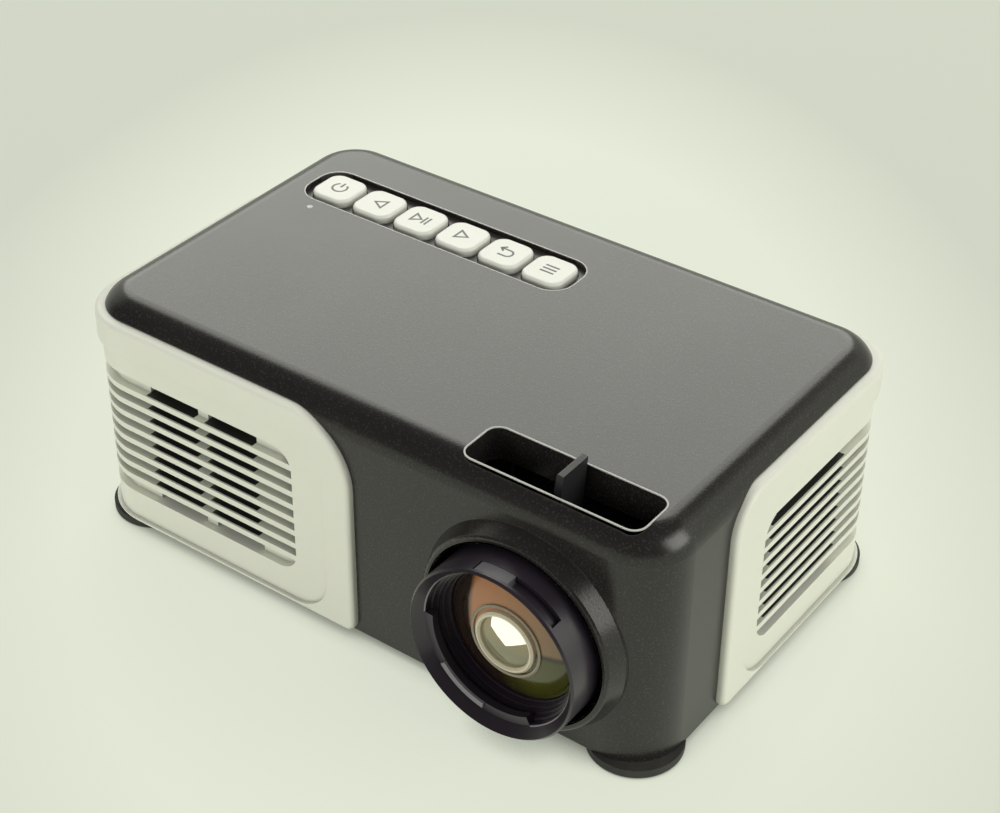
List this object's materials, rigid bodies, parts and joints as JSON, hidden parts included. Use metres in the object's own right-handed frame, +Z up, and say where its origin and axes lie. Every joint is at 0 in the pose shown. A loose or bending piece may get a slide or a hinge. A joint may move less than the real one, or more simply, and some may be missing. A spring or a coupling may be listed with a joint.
{
  "type": "pocket projector",
  "caption": "Pocket LED projector with louvred side covers, a row of sprung keys, and a lens that a lever on top turns and slides to focus",
  "frame": {"origin": "middle of the whole part's footprint, on the table under the feet", "axes": "+X to the right seen from the front, -Y the way the lens looks, +Z up"},
  "size_m": [0.1288, 0.0878, 0.0522],
  "materials": {
    "shell_grey": "satin dark grey moulded plastic",
    "base_black": "fine textured black plastic",
    "cover_white": "warm white moulded plastic",
    "foot_rubber": "black rubber",
    "thread_brass": "turned brass",
    "screw_steel": "blackened steel",
    "key_white": "white plastic key caps",
    "board_green": "solder masked circuit board",
    "switch_metal": "tact switches",
    "light_pipe": "clear light pipe",
    "lens_purple": "dark purple-black moulded ring",
    "catch_grey": "pale grey catch",
    "lens_glass": "coated lens glass",
    "focus_black": "black moulded plastic",
    "plate_glass": "flat optical plates",
    "lcd_dark": "picture panel",
    "reflector": "mirror finished light cone",
    "led_white": "lamp board",
    "sink_metal": "extruded aluminium",
    "fan_black": "black fan plastic",
    "chip_black": "chip packages",
    "cap_metal": "capacitor cans",
    "socket_metal": "plated socket shells",
    "socket_black": "black socket bodies",
    "speaker_metal": "pressed speaker frame",
    "speaker_paper": "paper cone"
  },
  "bodies": {
    "housing": {"top_shell": "shell_grey", "base_plate": "base_black", "left_cover": "cover_white", "right_cover": "cover_white", "front_left_foot": "foot_rubber", "front_right_foot": "foot_rubber", "rear_left_foot": "foot_rubber", "rear_right_foot": "foot_rubber", "tripod_insert": "thread_brass", "case_screws": "screw_steel", "key_screws": "screw_steel", "housing_screws": "screw_steel", "sink_screws": "screw_steel", "board_screws": "screw_steel", "key_board": "board_green", "main_board": "board_green", "key_switches": "switch_metal", "status_light": "light_pipe", "lens_housing": "focus_black", "optical_box": "focus_black", "optical_lid": "focus_black", "field_lens": "plate_glass", "fresnel_lens": "plate_glass", "heat_glass": "plate_glass", "lcd_panel": "lcd_dark", "light_cone": "reflector", "led_board": "led_white", "heat_sink": "sink_metal", "fan_frame": "fan_black", "chips": "chip_black", "capacitors": "cap_metal", "hdmi_socket": "socket_metal", "usb_socket": "socket_metal", "audio_socket": "socket_black", "power_socket": "socket_black", "speaker_frame": "speaker_metal", "speaker_cone": "speaker_paper"},
    "focus_ring": {"focus_ring": "focus_black"},
    "lens_group": {"lens_barrel": "lens_purple", "front_ring": "lens_purple", "ring_catch": "catch_grey", "hood_baffle": "lens_purple", "front_lens": "lens_glass", "middle_lens": "lens_glass", "rear_lens": "lens_glass", "lens_spacer": "lens_purple", "rear_ring": "lens_purple"},
    "fan_rotor": {"fan_rotor": "fan_black"},
    "power_key": {"power_key": "key_white"},
    "left_key": {"left_key": "key_white"},
    "play_key": {"play_key": "key_white"},
    "right_key": {"right_key": "key_white"},
    "back_key": {"back_key": "key_white"},
    "menu_key": {"menu_key": "key_white"}
  },
  "joints": [
    {"name": "focus_turn", "type": "hinge", "parent": "housing", "child": "focus_ring", "pos_m": [0.0372, -0.02583, 0.0225], "axis": [0, 1, 0], "range_deg": [-32, 29]},
    {"name": "lens_slide", "type": "slide", "parent": "focus_ring", "child": "lens_group", "axis": [0, -1, 0], "range_m": [-0.00146, 0.0013]},
    {"name": "fan_spin", "type": "hinge", "parent": "housing", "child": "fan_rotor", "pos_m": [0.0569, 0.01617, 0.0225], "axis": [1, 0, 0], "continuous": true},
    {"name": "power_key_press", "type": "slide", "parent": "housing", "child": "power_key", "axis": [0, 0, -1], "range_m": [0, 0.0006], "stiffness_N_per_m": 600, "springref_m": -0.0005},
    {"name": "left_key_press", "type": "slide", "parent": "housing", "child": "left_key", "axis": [0, 0, -1], "range_m": [0, 0.0006], "stiffness_N_per_m": 600, "springref_m": -0.0005},
    {"name": "play_key_press", "type": "slide", "parent": "housing", "child": "play_key", "axis": [0, 0, -1], "range_m": [0, 0.0006], "stiffness_N_per_m": 600, "springref_m": -0.0005},
    {"name": "right_key_press", "type": "slide", "parent": "housing", "child": "right_key", "axis": [0, 0, -1], "range_m": [0, 0.0006], "stiffness_N_per_m": 600, "springref_m": -0.0005},
    {"name": "back_key_press", "type": "slide", "parent": "housing", "child": "back_key", "axis": [0, 0, -1], "range_m": [0, 0.0006], "stiffness_N_per_m": 600, "springref_m": -0.0005},
    {"name": "menu_key_press", "type": "slide", "parent": "housing", "child": "menu_key", "axis": [0, 0, -1], "range_m": [0, 0.0006], "stiffness_N_per_m": 600, "springref_m": -0.0005}
  ],
  "couplings": [
    {"joint": "focus_turn", "follows": "lens_slide", "rad_per_m": 370}
  ]
}
